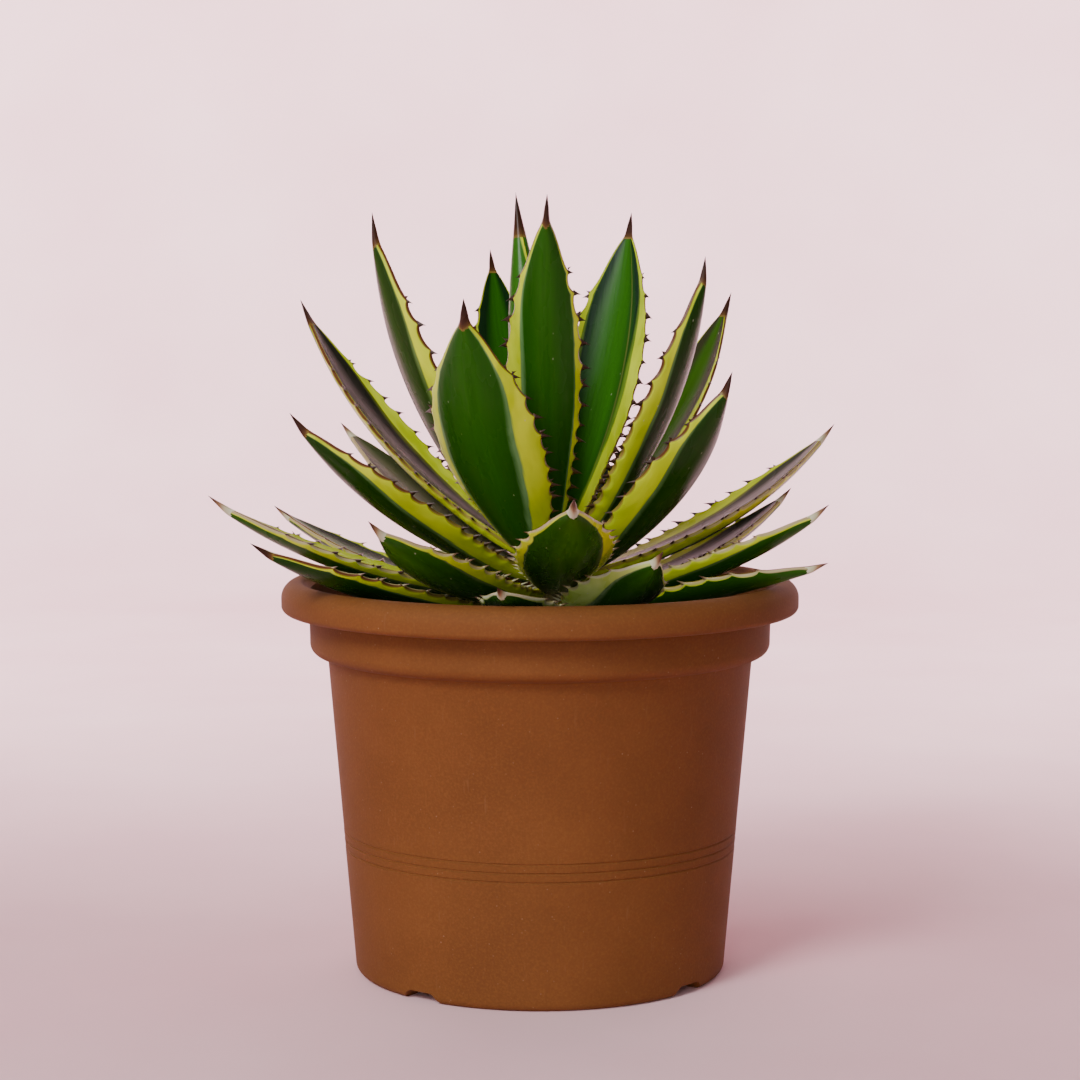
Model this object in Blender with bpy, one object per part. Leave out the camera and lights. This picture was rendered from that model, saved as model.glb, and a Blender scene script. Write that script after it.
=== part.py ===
"""Potted agave: a variegated rosette in a 200 mm nursery pot.

Metres, +Z up, the front towards -Y. The origin is on the pot's axis at the surface it stands on.
"""

from math import cos, radians, sin, sqrt

import bmesh
import bpy
from mathutils import Vector

MM = 0.001
GAP = 0.3 * MM

# Pot: one injection-moulded shell, turned round its axis.
POT_HEIGHT = 152.5 * MM
RIM_RADIUS = 100 * MM
RIM_ROLL_RADIUS = 6.5 * MM
RIM_LIP_Z = 140.5 * MM
RIM_LIP_THICKNESS = 2.6 * MM
NECK_RADIUS = 89 * MM
NECK_Z = 125 * MM
NECK_CORNER = 4.5 * MM
BODY_TOP_RADIUS = 82 * MM
BODY_FOOT_RADIUS = 72 * MM
POT_WALL = 2.4 * MM
FLOOR_Z = 4 * MM
FOOT_CORNER = 3 * MM
FOOT_RING_WIDTH = 8 * MM
POT_SIDES = 48
DRAIN_NOTCH_ANGLES = (-38.5, 51.5, 141.5, 231.5)
DRAIN_NOTCH_WIDTH = 17 * MM
DRAIN_NOTCH_TOP_WIDTH = 10 * MM
DRAIN_NOTCH_CORNER = 1.2 * MM
DRAIN_NOTCH_HEIGHT = 3.8 * MM
DRAIN_HOLE_RADIUS = 6 * MM
DRAIN_HOLE_CIRCLE = 45 * MM

# Soil, and the short stem that stands in it a little to the right of the pot's axis.
SOIL_TOP = 131.5 * MM
SOIL_CROWN = 1.5 * MM
PLANT_X = 5 * MM
STEM_FOOT_Z = 118 * MM
STEM_SIDES = 20

# Where the leaves grow from the stem: each root sits a little higher and closer to the axis
# than the one before it.
ROOT_LOW_Z = 137 * MM
ROOT_HIGH_Z = 168 * MM
ROOT_LOW_RADIUS = 15 * MM
ROOT_HIGH_RADIUS = 8 * MM

# Leaf shape along its length, from root to the tip of its end spine: (place, width, thickness),
# each as a share of the leaf's own length, width and thickness.
LEAF_STATIONS = (
    (0.00, 0.24, 0.80),
    (0.07, 0.32, 0.92),
    (0.16, 0.53, 0.94),
    (0.28, 0.80, 0.85),
    (0.40, 0.96, 0.76),
    (0.52, 1.00, 0.70),
    (0.64, 0.92, 0.64),
    (0.74, 0.74, 0.60),
    (0.83, 0.46, 0.56),
    (0.90, 0.21, 0.52),
    (0.925, 0.11, 0.50),
    (0.965, 0.055, 0.26),
)
LEAF_THICKNESS = 5.4 * MM
CHANNEL = 0.30  # how far the margins rise above the midrib, as a share of the half width
HALF_SECTION = (0.42, 0.80)  # places of a section's points between midrib and margin

# One row for each leaf, outermost first: turn from the front towards the right (degrees),
# lift above level (degrees), length, width, bow (tip curving up), sway (a sideways bow)
# (all mm), and roll (degrees).
LEAVES = (
    (-11, 14.5, 92, 30, 4, 0, 0),
    (63, 14.5, 102, 27, 1.5, 0, -10),
    (-141, 13, 96, 26, 2, 0, 0),
    (148, 15, 82, 27, 3, 0, 0),
    (-56, 15, 122, 28, 8, 0, 7),
    (23, 19, 90, 33, 9, 0, -11),
    (-115, 16.5, 116, 26, 8, 0, 5),
    (180, 18, 118, 30, 4, 0, 0),
    (118, 21.5, 104, 26, 9, 0, -4),
    (69, 21, 104, 26, 8, 0, -10),
    (-34, 18.5, 110, 31, 10, 0, 9),
    (-72, 17.5, 128.5, 30, 11, 0, -3),
    (3, 20.5, 122, 37, 7, 0, 3),
    (170, 30, 105, 30, 4, 0, 0),
    (-125, 31.5, 110, 28, 5, 0, 0),
    (121, 24, 136, 29, 11, 0, -6),
    (-59, 32.5, 120, 32, 9, 0, 6),
    (50, 46.5, 108, 33, 11, 0, -5),
    (-158, 38, 110, 29, 4, 0, 0),
    (134, 34.5, 90, 26, 6, 0, 0),
    (-21, 52, 129, 43, 9, -5, 0),
    (176, 54, 118, 27, 4, 0, 0),
    (-115, 44, 142, 30, 12, 0, 0),
    (130, 49.5, 132, 31, 10, 0, 0),
    (-56, 61, 147, 28, 14, 0, 0),
    (-161, 59, 135, 30, 3, 2, 0),
    (63, 63.5, 123.5, 29, 11, 0, 0),
    (154, 63, 144, 35, 4, -2, 0),
    (-2, 64.5, 144, 29, 3, -2, 0),
)

# The cone of leaves that haven't opened, leaning like the plant.
SPEAR_LEAN_TURN = -146
SPEAR_LIFT = 79
SPEAR_LENGTH = 136 * MM
SPEAR_RADIUS = 7.5 * MM
SPEAR_STATIONS = (
    (0.00, 0.40),
    (0.10, 0.55),
    (0.28, 0.88),
    (0.45, 1.00),
    (0.62, 0.88),
    (0.75, 0.62),
    (0.85, 0.36),
    (0.92, 0.18),
)
SPEAR_SIDES = 12


def material(name, colour, roughness):
    made = bpy.data.materials.new(name)
    made.use_nodes = True
    shader = made.node_tree.nodes["Principled BSDF"]
    shader.inputs["Base Color"].default_value = (*colour, 1)
    shader.inputs["Roughness"].default_value = roughness
    shader.inputs["Metallic"].default_value = 0
    return made


def new_object(name, mesh, finish):
    mesh.materials.append(finish)
    made = bpy.data.objects.new(name, mesh)
    bpy.context.scene.collection.objects.link(made)
    return made


def arc(centre, radius, start, end, steps):
    """Points (radius from the axis, height) on an arc in a turned profile, angles in degrees."""
    points = []
    for i in range(steps + 1):
        angle = radians(start + (end - start) * i / steps)
        points.append((centre[0] + radius * cos(angle), centre[1] + radius * sin(angle)))
    return points


def turned(name, profile, sides, finish):
    """A solid of revolution. Its profile runs down the outer side, and may end on the axis."""
    mesh = bpy.data.meshes.new(name)
    bm = bmesh.new()
    points = [bm.verts.new((r, 0, z)) for r, z in profile]
    loose = list(zip(points, points[1:]))
    if profile[0][0] > 0:
        loose.append((points[-1], points[0]))
    for a, b in loose:
        bm.edges.new((a, b))
    bm.to_mesh(mesh)
    bm.free()
    made = new_object(name, mesh, finish)
    screw = made.modifiers.new("turn", "SCREW")
    screw.axis = "Z"
    screw.steps = sides
    screw.render_steps = sides
    screw.use_merge_vertices = True
    screw.merge_threshold = 0.01 * MM
    screw.use_smooth_shade = True
    return made


def cut(target, cutter):
    cutter.hide_render = True
    cutter.display_type = "WIRE"
    boolean = target.modifiers.new("cut " + cutter.name, "BOOLEAN")
    boolean.operation = "DIFFERENCE"
    boolean.object = cutter


def cylinder(name, radius, low, high, x, y, sides=16):
    mesh = bpy.data.meshes.new(name)
    bm = bmesh.new()
    bmesh.ops.create_cone(
        bm, cap_ends=True, segments=sides, radius1=radius, radius2=radius, depth=high - low
    )
    bm.to_mesh(mesh)
    bm.free()
    made = bpy.data.objects.new(name, mesh)
    made.location = (x, y, (low + high) / 2)
    bpy.context.scene.collection.objects.link(made)
    return made


def front_direction(turn):
    """The level direction at this turn from the front (-Y) towards the right (+X)."""
    return Vector((sin(radians(turn)), -cos(radians(turn)), 0))


def notch_cutter(name, turn):
    """A rounded bar across the standing ring: narrower at the top than at the bottom."""
    half_foot = DRAIN_NOTCH_WIDTH / 2
    half_top = DRAIN_NOTCH_TOP_WIDTH / 2
    shoulder_z = DRAIN_NOTCH_HEIGHT - 0.75 * DRAIN_NOTCH_CORNER
    outline = (
        (-half_foot - MM, -MM),
        (half_foot + MM, -MM),
        (half_foot, DRAIN_NOTCH_CORNER / 2),
        (half_top + DRAIN_NOTCH_CORNER, shoulder_z),
        (half_top, DRAIN_NOTCH_HEIGHT),
        (-half_top, DRAIN_NOTCH_HEIGHT),
        (-half_top - DRAIN_NOTCH_CORNER, shoulder_z),
        (-half_foot, DRAIN_NOTCH_CORNER / 2),
    )
    reach = front_direction(turn)
    across = front_direction(turn + 90)
    near = BODY_FOOT_RADIUS - FOOT_RING_WIDTH - 6 * MM
    far = BODY_FOOT_RADIUS + 4 * MM
    mesh = bpy.data.meshes.new(name)
    bm = bmesh.new()
    ends = []
    for distance in (near, far):
        ring = [bm.verts.new(reach * distance + across * x + Vector((0, 0, z))) for x, z in outline]
        ends.append(bm.faces.new(ring))
    edges = [edge for face in ends for edge in face.edges]
    bmesh.ops.bridge_loops(bm, edges=edges)
    bmesh.ops.recalc_face_normals(bm, faces=bm.faces)
    bm.to_mesh(mesh)
    bm.free()
    made = bpy.data.objects.new(name, mesh)
    bpy.context.scene.collection.objects.link(made)
    return made


def pot():
    plastic = material("terracotta plastic", (0.194, 0.056, 0.019), 0.62)
    inner_radius = BODY_TOP_RADIUS - POT_WALL
    neck_inner = NECK_RADIUS - POT_WALL
    foot_inner = BODY_FOOT_RADIUS - FOOT_RING_WIDTH
    lip = RIM_LIP_THICKNESS
    crown = RIM_RADIUS - RIM_ROLL_RADIUS
    profile = []
    # Rolled rim: over the crown, down its face, and back up inside the overhanging lip.
    profile += arc((crown, POT_HEIGHT - RIM_ROLL_RADIUS), RIM_ROLL_RADIUS, 90, 0, 4)
    profile += arc((RIM_RADIUS - lip, RIM_LIP_Z + lip), lip, 0, -90, 2)
    profile.append((RIM_RADIUS - lip, POT_HEIGHT - 8 * MM))
    # Neck band and its rounded shoulder, then the tapered wall down to the foot.
    profile.append((NECK_RADIUS + MM, POT_HEIGHT - 9 * MM))
    profile.append((NECK_RADIUS, NECK_Z + 5 * MM))
    profile += arc((NECK_RADIUS - NECK_CORNER, NECK_Z + NECK_CORNER - MM), NECK_CORNER, 0, -70, 3)
    profile.append((BODY_TOP_RADIUS, NECK_Z - 3 * MM))
    profile += arc((BODY_FOOT_RADIUS - FOOT_CORNER, FOOT_CORNER), FOOT_CORNER, 0, -90, 3)
    # Standing ring, raised floor underneath, and back up the inside.
    profile.append((foot_inner, 0))
    profile.append((foot_inner - 1.5 * MM, FLOOR_Z))
    profile.append((DRAIN_HOLE_RADIUS, FLOOR_Z))
    profile += [
        (DRAIN_HOLE_RADIUS, FLOOR_Z + POT_WALL),
        (BODY_FOOT_RADIUS - POT_WALL - 4 * MM, FLOOR_Z + POT_WALL),
        (BODY_FOOT_RADIUS - POT_WALL, FLOOR_Z + POT_WALL + 4 * MM),
        (inner_radius, NECK_Z - 2 * MM),
        (neck_inner, NECK_Z + 5 * MM),
        (neck_inner + 2 * MM, POT_HEIGHT - 3 * MM),
        (neck_inner + 4 * MM, POT_HEIGHT),
    ]
    made = turned("pot", profile, POT_SIDES, plastic)
    for i, turn in enumerate(DRAIN_NOTCH_ANGLES):
        cut(made, notch_cutter(f"drain_notch_{i + 1}", turn))
        hole = front_direction(turn + 45) * DRAIN_HOLE_CIRCLE
        cut(made, cylinder(f"drain_hole_{i + 1}", DRAIN_HOLE_RADIUS, 0, 10 * MM, hole.x, hole.y))
    return made


def soil():
    """The potting mix: it fills the pot up to a low crown, with a socket for the stem."""
    mix = material("potting mix", (0.035, 0.022, 0.014), 0.95)
    foot = BODY_FOOT_RADIUS - POT_WALL - GAP
    shoulder = BODY_TOP_RADIUS - POT_WALL - GAP
    neck = NECK_RADIUS - POT_WALL - GAP
    floor = FLOOR_Z + POT_WALL + GAP
    profile = [
        (0, SOIL_TOP + SOIL_CROWN),
        (40 * MM, SOIL_TOP + SOIL_CROWN),
        (neck, SOIL_TOP),
        (neck, NECK_Z + 5 * MM),
        (shoulder, NECK_Z - 2 * MM),
        (foot, floor + 4 * MM),
        (foot - 4 * MM, floor),
        (0, floor),
    ]
    made = turned("soil", profile, POT_SIDES, mix)
    socket = cylinder(
        "stem_socket", ROOT_LOW_RADIUS, STEM_FOOT_Z - GAP, POT_HEIGHT, PLANT_X, 0, STEM_SIDES
    )
    cut(made, socket)


def root_radius(height_share):
    return ROOT_LOW_RADIUS + (ROOT_HIGH_RADIUS - ROOT_LOW_RADIUS) * height_share


def root_height(height_share):
    return ROOT_LOW_Z + (ROOT_HIGH_Z - ROOT_LOW_Z) * height_share


def stem():
    """The short stem: it narrows upwards just inside the roots of the leaves."""
    bark = material("stem", (0.20, 0.22, 0.09), 0.7)
    inside = LEAF_THICKNESS / 2 + GAP
    profile = [(0, ROOT_HIGH_Z - 2 * MM)]
    for share in (0.95, 0.5, 0):
        profile.append((root_radius(share) - inside - share * 2 * MM, root_height(share)))
    profile += [
        (ROOT_LOW_RADIUS - inside, STEM_FOOT_Z + 3 * MM),
        (ROOT_LOW_RADIUS - inside - 3 * MM, STEM_FOOT_Z),
        (0, STEM_FOOT_Z),
    ]
    made = turned("stem", profile, STEM_SIDES, bark)
    made.location.x = PLANT_X


def spear():
    """The pointed cone of rolled young leaves above the stem."""
    green = material("young leaf", (0.045, 0.16, 0.03), 0.4)
    profile = [(0, SPEAR_LENGTH)]
    for place, width in reversed(SPEAR_STATIONS):
        profile.append((width * SPEAR_RADIUS, place * SPEAR_LENGTH))
    profile.append((0, 0))
    made = turned("spear", profile, SPEAR_SIDES, green)
    made.location = (PLANT_X, 0, ROOT_HIGH_Z + GAP)
    lean = front_direction(SPEAR_LEAN_TURN) * cos(radians(SPEAR_LIFT))
    lean.z = sin(radians(SPEAR_LIFT))
    made.rotation_mode = "QUATERNION"
    made.rotation_quaternion = lean.to_track_quat("Z", "Y")


def section_points(half_width, thickness):
    """One section of a leaf, (across, up) from margin to margin over the inner face and back."""
    rise = CHANNEL * half_width
    inner = []
    outer = []
    for share in (-HALF_SECTION[1], -HALF_SECTION[0], 0, HALF_SECTION[0], HALF_SECTION[1]):
        middle = rise * share**2
        half = thickness / 2 * sqrt(1 - share**2)
        inner.append((share * half_width, middle + 0.6 * half))
        outer.append((share * half_width, middle - 1.4 * half))
    margin = ((-half_width, rise), (half_width, rise))
    return [margin[0], *inner, margin[1], *reversed(outer)]


def leaf(name, row, height_share, finish):
    """A lance-shaped leaf lofted along its bowed midline, ending in the point of its spine."""
    turn, lift, length, width, bow, sway, roll = row
    length = length * MM
    outward = front_direction(turn)
    root = outward * root_radius(height_share) + Vector((PLANT_X, 0, root_height(height_share)))
    along = outward * cos(radians(lift)) + Vector((0, 0, sin(radians(lift))))
    inward = Vector((0, 0, cos(radians(lift)))) - outward * sin(radians(lift))
    level_across = inward.cross(along)
    across = level_across * cos(radians(roll)) + inward * sin(radians(roll))
    inward = inward * cos(radians(roll)) - level_across * sin(radians(roll))

    mesh = bpy.data.meshes.new(name)
    bm = bmesh.new()
    rings = []
    for place, wide, thick in LEAF_STATIONS:
        arch = 4 * MM * place * (1 - place)
        slope = 4 * bow * MM * (1 - 2 * place) / length
        middle = root + along * length * place - inward * bow * arch + across * sway * arch
        up = (inward + along * slope).normalized()
        points = section_points(wide * width * MM / 2, thick * LEAF_THICKNESS)
        ring = [bm.verts.new(middle + across * x + up * y) for x, y in points]
        rings.append(ring)
    bm.faces.new(reversed(rings[0]))
    for near, far in zip(rings, rings[1:]):
        for i in range(len(near)):
            j = (i + 1) % len(near)
            bm.faces.new((near[i], near[j], far[j], far[i]))
    tip = bm.verts.new(root + along * length)
    last = rings[-1]
    for i in range(len(last)):
        bm.faces.new((last[i], last[(i + 1) % len(last)], tip))
    bmesh.ops.recalc_face_normals(bm, faces=bm.faces)
    bm.to_mesh(mesh)
    bm.free()
    mesh.shade_smooth()
    new_object(name, mesh, finish)


for old in list(bpy.data.objects):
    bpy.data.objects.remove(old)

pot()
soil()
stem()
spear()
leaf_green = material("variegated leaf", (0.03, 0.12, 0.02), 0.4)
for number, row in enumerate(LEAVES):
    leaf(f"leaf_{number + 1:02d}", row, number / (len(LEAVES) - 1), leaf_green)
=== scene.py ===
"""A potted agave: a variegated rosette in a terracotta-coloured nursery pot.

Everything is in metres, +Z up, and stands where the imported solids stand.
"""

import math
import random
from types import SimpleNamespace

import bmesh
import bpy
import numpy as np
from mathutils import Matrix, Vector, noise


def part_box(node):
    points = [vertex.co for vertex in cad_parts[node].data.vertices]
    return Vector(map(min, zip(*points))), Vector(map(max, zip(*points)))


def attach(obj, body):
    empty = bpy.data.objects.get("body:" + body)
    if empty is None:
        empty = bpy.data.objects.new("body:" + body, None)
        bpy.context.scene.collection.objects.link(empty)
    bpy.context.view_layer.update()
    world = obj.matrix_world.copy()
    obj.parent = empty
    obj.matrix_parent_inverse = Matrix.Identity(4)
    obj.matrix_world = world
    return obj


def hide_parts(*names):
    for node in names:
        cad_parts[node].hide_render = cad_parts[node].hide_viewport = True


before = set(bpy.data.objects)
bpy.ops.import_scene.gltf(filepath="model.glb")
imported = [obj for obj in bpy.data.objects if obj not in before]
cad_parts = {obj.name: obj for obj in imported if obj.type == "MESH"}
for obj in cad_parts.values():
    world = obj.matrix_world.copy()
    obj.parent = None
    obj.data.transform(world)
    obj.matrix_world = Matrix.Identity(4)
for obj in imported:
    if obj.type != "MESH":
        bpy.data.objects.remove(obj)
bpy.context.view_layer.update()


# Pot. A nursery pot injection-moulded in one piece from terracotta-coloured polypropylene: a rolled
# rim over a neck band, a tapered wall with three fine rings, and a standing ring with four notches
# and a raised floor with drain holes.

MM = 0.001
POT_LOW, POT_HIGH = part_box("pot")
POT_HEIGHT = POT_HIGH.z
RIM_RADIUS = POT_HIGH.x
RIM_ROLL = 6.5 * MM
RIM_LIP_Z = POT_HEIGHT - 12 * MM
RIM_LIP = 2.6 * MM
NECK_RADIUS = RIM_RADIUS - 11 * MM
NECK_Z = POT_HEIGHT - 27.5 * MM
NECK_CORNER = 4.5 * MM
BODY_TOP_RADIUS = RIM_RADIUS - 18 * MM
BODY_FOOT_RADIUS = RIM_RADIUS - 28 * MM
POT_WALL = 2.4 * MM
POT_FLOOR_Z = 4 * MM
FOOT_RING = 8 * MM
FOOT_CORNER = 3 * MM
DRAIN_HOLE_RADIUS = 6 * MM
DRAIN_HOLE_CIRCLE = 45 * MM
DRAIN_HOLE_CUTTER = 12 * MM
NOTCH_TURNS = (-38.5, 51.5, 141.5, 231.5)
# Half of a notch's outline in mm, (across, up), from under the pot to its rounded top.
NOTCH_HALF = ((9.5, -1), (8.5, 0.6), (7, 2.4), (5.6, 3.5), (4.6, 3.8))
RING_HEIGHTS = (49 * MM, 52.4 * MM, 55.8 * MM)
RING_HALF_WIDTH = 0.5 * MM
RING_BOTTOM_HALF = 0.2 * MM
RING_DEPTH = 0.35 * MM
POT_SIDES = 144


def new_piece(name, mesh, *finishes):
    """An object made from this mesh, with these materials in its slots."""
    for finish in finishes:
        mesh.materials.append(finish)
    piece = bpy.data.objects.new(name, mesh)
    bpy.context.scene.collection.objects.link(piece)
    return piece


def arc(centre, radius, start, end, steps):
    """Points (radius from the axis, height) on an arc of a turned profile, angles in degrees."""
    points = []
    for i in range(steps + 1):
        angle = math.radians(start + (end - start) * i / steps)
        across = centre[0] + radius * math.cos(angle)
        points.append((across, centre[1] + radius * math.sin(angle)))
    return points


def turned_mesh(name, profile, sides):
    """A smooth closed solid turned round Z. The profile runs down its outer side."""
    bm = bmesh.new()
    rings = []
    for radius, z in profile:
        if radius < 1e-6:
            rings.append([bm.verts.new((0, 0, z))])
            continue
        ring = []
        for i in range(sides):
            angle = 2 * math.pi * i / sides
            ring.append(bm.verts.new((radius * math.cos(angle), radius * math.sin(angle), z)))
        rings.append(ring)
    pairs = list(zip(rings, rings[1:]))
    if len(rings[0]) > 1:
        pairs.append((rings[-1], rings[0]))
    for upper, lower in pairs:
        for i in range(sides):
            corners = [upper[i % len(upper)], lower[i % len(lower)]]
            corners += [lower[(i + 1) % len(lower)], upper[(i + 1) % len(upper)]]
            unique = list(dict.fromkeys(corners))
            if len(unique) > 2:
                bm.faces.new(unique)
    mesh = bpy.data.meshes.new(name)
    bm.to_mesh(mesh)
    bm.free()
    mesh.shade_smooth()
    return mesh


def front_direction(turn):
    """The level direction at this turn from the front (-Y) towards the right (+X), in degrees."""
    return Vector((math.sin(math.radians(turn)), -math.cos(math.radians(turn)), 0))


def notch_mesh(turn):
    """A rounded bar that cuts a drainage notch through the standing ring."""
    outline = NOTCH_HALF + tuple((-x, y) for x, y in reversed(NOTCH_HALF))
    near = front_direction(turn) * (BODY_FOOT_RADIUS - FOOT_RING - 6 * MM)
    far = front_direction(turn) * (BODY_FOOT_RADIUS + 4 * MM)
    across = front_direction(turn + 90)
    bm = bmesh.new()
    ends = []
    for end in (near, far):
        ring = [bm.verts.new(end + across * x * MM + Vector((0, 0, y * MM))) for x, y in outline]
        ends.append(bm.faces.new(ring))
    bmesh.ops.bridge_loops(bm, edges=[edge for face in ends for edge in face.edges])
    bmesh.ops.recalc_face_normals(bm, faces=bm.faces)
    mesh = bpy.data.meshes.new("notch")
    bm.to_mesh(mesh)
    bm.free()
    return mesh


def hole_mesh(turn):
    """A short bar that cuts a drain hole through the floor, from 1 mm under the pot."""
    bm = bmesh.new()
    bmesh.ops.create_cone(
        bm, cap_ends=True, segments=32, radius1=DRAIN_HOLE_RADIUS, radius2=DRAIN_HOLE_RADIUS,
        depth=DRAIN_HOLE_CUTTER,
    )
    centre = front_direction(turn) * DRAIN_HOLE_CIRCLE
    centre.z = DRAIN_HOLE_CUTTER / 2 - MM
    bmesh.ops.translate(bm, verts=bm.verts, vec=centre)
    mesh = bpy.data.meshes.new("hole")
    bm.to_mesh(mesh)
    bm.free()
    return mesh


def cut_away(piece, meshes):
    """Cuts these closed meshes out of the piece."""
    for mesh in meshes:
        cutter = new_piece("cutter", mesh)
        boolean = piece.modifiers.new("cut", "BOOLEAN")
        boolean.object = cutter
    bpy.context.view_layer.update()
    evaluated = piece.evaluated_get(bpy.context.evaluated_depsgraph_get())
    finished = bpy.data.meshes.new_from_object(evaluated)
    for modifier in list(piece.modifiers):
        cutter = modifier.object
        piece.modifiers.remove(modifier)
        bpy.data.objects.remove(cutter)
    piece.data = finished


def linear(hex_colour):
    """An sRGB hex colour as linear RGBA."""
    channels = []
    for i in (0, 2, 4):
        value = int(hex_colour[i:i + 2], 16) / 255
        channels.append(value / 12.92 if value <= 0.04045 else ((value + 0.055) / 1.055) ** 2.4)
    return (*channels, 1)


def new_finish(name):
    """A material with nothing in it but its output and a Principled shader."""
    finish = bpy.data.materials.new(name)
    finish.use_nodes = True
    tree = finish.node_tree
    return finish, tree, tree.nodes["Principled BSDF"]


def add(tree, kind, inputs=None, stops=None, **settings):
    """Adds a node, sets its settings, links or sets its inputs, and sets a ramp's colour stops."""
    made = tree.nodes.new("ShaderNode" + kind)
    for key, value in settings.items():
        setattr(made, key, value)
    for key, value in (inputs or {}).items():
        if isinstance(value, bpy.types.NodeSocket):
            tree.links.new(value, made.inputs[key])
        else:
            made.inputs[key].default_value = value
    if stops:
        elements = made.color_ramp.elements
        while len(elements) < len(stops):
            elements.new(1)
        for element, (place, hex_colour) in zip(elements, stops):
            element.position = place
            element.color = linear(hex_colour)
    return made


def terracotta_plastic():
    """Pigmented polypropylene, moulded matt: even in colour, freckled at 1 mm by its mineral
    filler, with pale flecks and a few upright scuffs, and hardly any shine."""
    finish, tree, shader = new_finish("terracotta polypropylene")
    place = add(tree, "TexCoord").outputs["Object"]
    clouds = add(tree, "TexNoise", {"Vector": place, "Scale": 1 / (40 * MM), "Detail": 3})
    base = add(tree, "ValToRGB", {"Fac": clouds.outputs["Fac"]},
               stops=((0.3, "704217"), (0.55, "75461A"), (0.75, "7A4A1D")))
    # Freckles of the filler.
    grain = add(tree, "TexNoise", {"Vector": place, "Scale": 1 / (0.9 * MM), "Detail": 3})
    freckles = add(tree, "ValToRGB", {"Fac": grain.outputs["Fac"]},
                   stops=((0.3, "6A6A6A"), (0.5, "808080"), (0.7, "A8A8A8")))
    freckled = add(tree, "Mix", {0: 0.4, 6: base.outputs["Color"], 7: freckles.outputs["Color"]},
                   data_type="RGBA", blend_type="SOFT_LIGHT")
    # Pale flecks, here and there in patches.
    cells = add(tree, "TexVoronoi", {"Vector": place, "Scale": 1 / (3 * MM)})
    flecks = add(tree, "ValToRGB", {"Fac": cells.outputs["Distance"]},
                 stops=((0.05, "FFFFFF"), (0.12, "000000")))
    patches = add(tree, "TexNoise", {"Vector": place, "Scale": 1 / (11 * MM), "Detail": 3})
    patchy = add(tree, "MapRange", {"Value": patches.outputs["Fac"], "From Min": 0.45,
                                    "From Max": 0.75, "To Max": 0.5})
    fleck_amount = add(tree, "Math", {0: flecks.outputs["Color"], 1: patchy.outputs[0]},
                       operation="MULTIPLY")
    flecked = add(tree, "Mix", {0: fleck_amount.outputs[0], 6: freckled.outputs[2],
                                7: linear("A98468")}, data_type="RGBA")
    # Upright scuffs.
    upright = add(tree, "Mapping", {"Vector": place, "Scale": (1 / (1.5 * MM), 1 / (1.5 * MM),
                                                              1 / (14 * MM))})
    scratches = add(tree, "TexNoise", {"Vector": upright.outputs[0], "Scale": 1, "Detail": 2})
    scuffs = add(tree, "MapRange", {"Value": scratches.outputs["Fac"], "From Min": 0.66,
                                    "From Max": 0.85, "To Max": 0.2})
    scuffed = add(tree, "Mix", {0: scuffs.outputs[0], 6: flecked.outputs[2],
                                7: linear("8A6040")}, data_type="RGBA")
    tree.links.new(scuffed.outputs[2], shader.inputs["Base Color"])
    relief = add(tree, "Bump", {"Height": grain.outputs["Fac"], "Strength": 0.3,
                                "Distance": 0.2 * MM})
    tree.links.new(relief.outputs[0], shader.inputs["Normal"])
    shader.inputs["Roughness"].default_value = 0.8
    shader.inputs["Specular IOR Level"].default_value = 0.3
    shader.inputs["IOR"].default_value = 1.49
    return finish


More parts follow.
